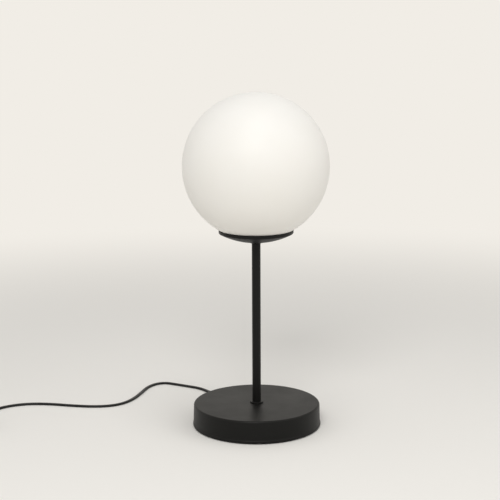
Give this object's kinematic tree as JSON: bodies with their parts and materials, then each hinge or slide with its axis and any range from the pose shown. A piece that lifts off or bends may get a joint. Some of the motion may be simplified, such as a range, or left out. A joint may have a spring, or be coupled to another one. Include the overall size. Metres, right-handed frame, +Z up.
{
  "type": "globe table lamp",
  "caption": "Round opal glass globe resting in a shallow black dish on a slim stem and a round weighted base, with a bulb inside, a flat cord, an in-line rocker switch and a plug.",
  "frame": {"origin": "on the stem's axis, on the table under the base's foot pad", "axes": "+Z up along the stem, +X to the right and +Y to the back as the lamp is seen from the front"},
  "size_m": [0.5866, 0.3301, 0.4627],
  "materials": {
    "black_powder_coat": "matt, fine texture",
    "cast_iron": "rough, painted grey-black",
    "zinc_steel": "bright zinc",
    "spring_steel": "bright, smooth",
    "black_felt": "needle felt",
    "black_moulded_plastic": "fine matt",
    "black_cord": "smooth satin PVC",
    "black_holder_plastic": "moulded, half gloss",
    "black_switch_plastic": "moulded, half gloss",
    "white_ceramic": "unglazed",
    "clear_silicone": "translucent, satin",
    "opal_glass": "opal, satin outside",
    "frosted_bulb_glass": "frosted",
    "nickel_plated_brass": "bright nickel",
    "black_glass_insulator": "vitreous black",
    "brass": "bright",
    "brown_core": "smooth PVC",
    "blue_core": "smooth PVC"
  },
  "bodies": {
    "lamp": {"base_shell": "black_powder_coat", "base_weight": "cast_iron", "bottom_plate": "zinc_steel", "plate_screws": "zinc_steel", "foot_pad": "black_felt", "cord_relief": "black_moulded_plastic", "cord_clamp": "black_moulded_plastic", "clamp_screws": "zinc_steel", "lower_nut": "zinc_steel", "lower_lock_washer": "zinc_steel", "lower_washer": "zinc_steel", "lower_nipple": "zinc_steel", "lower_collar": "black_powder_coat", "stem_tube": "black_powder_coat", "upper_collar": "black_powder_coat", "upper_nipple": "zinc_steel", "dish": "black_powder_coat", "dish_washer": "zinc_steel", "dish_nut": "zinc_steel", "globe_spring": "spring_steel", "seat_ring": "clear_silicone", "holder_cap": "black_holder_plastic", "holder_insert": "white_ceramic", "holder_shell": "black_holder_plastic", "holder_terminals": "brass", "terminal_screws": "zinc_steel", "centre_contact": "brass", "side_contact": "brass", "inner_cable": "black_cord", "live_core": "brown_core", "neutral_core": "blue_core", "cord_lead": "black_cord", "cord_mid": "black_cord", "cord_coil": "black_cord", "cord_tail": "black_cord", "cord_tie": "black_moulded_plastic", "switch_base": "black_switch_plastic", "switch_cover": "black_switch_plastic", "switch_terminals": "brass", "switch_contacts": "brass", "case_screws": "zinc_steel", "switch_cores": "brown_core", "plug_body": "black_moulded_plastic", "plug_pins": "nickel_plated_brass", "plug_relief": "black_moulded_plastic"},
    "glass_globe": {"globe": "opal_glass"},
    "bulb_foot": {"bulb_button": "brass"},
    "bulb": {"bulb_glass": "frosted_bulb_glass", "bulb_cap": "nickel_plated_brass", "bulb_insulator": "black_glass_insulator"},
    "rocker": {"switch_rocker": "black_switch_plastic"}
  },
  "joints": [
    {"name": "globe_lift", "type": "slide", "parent": "lamp", "child": "glass_globe", "axis": [0, 0, 1], "range_m": [0, 0.13]},
    {"name": "bulb_lift", "type": "slide", "parent": "lamp", "child": "bulb_foot", "axis": [0, 0, 1], "range_m": [0, 0.0109]},
    {"name": "bulb_turn", "type": "hinge", "parent": "bulb_foot", "child": "bulb", "pos_m": [0, 0, 0.3], "axis": [0, 0, 1], "range_deg": [0, 1080]},
    {"name": "switch_press", "type": "hinge", "parent": "lamp", "child": "rocker", "pos_m": [-0.392, -0.017, 0.013], "axis": [1, 0, 0], "range_deg": [0, 16]}
  ],
  "couplings": [
    {"joint": "bulb_lift", "follows": "bulb_turn", "m_per_rad": 0.00057614}
  ]
}
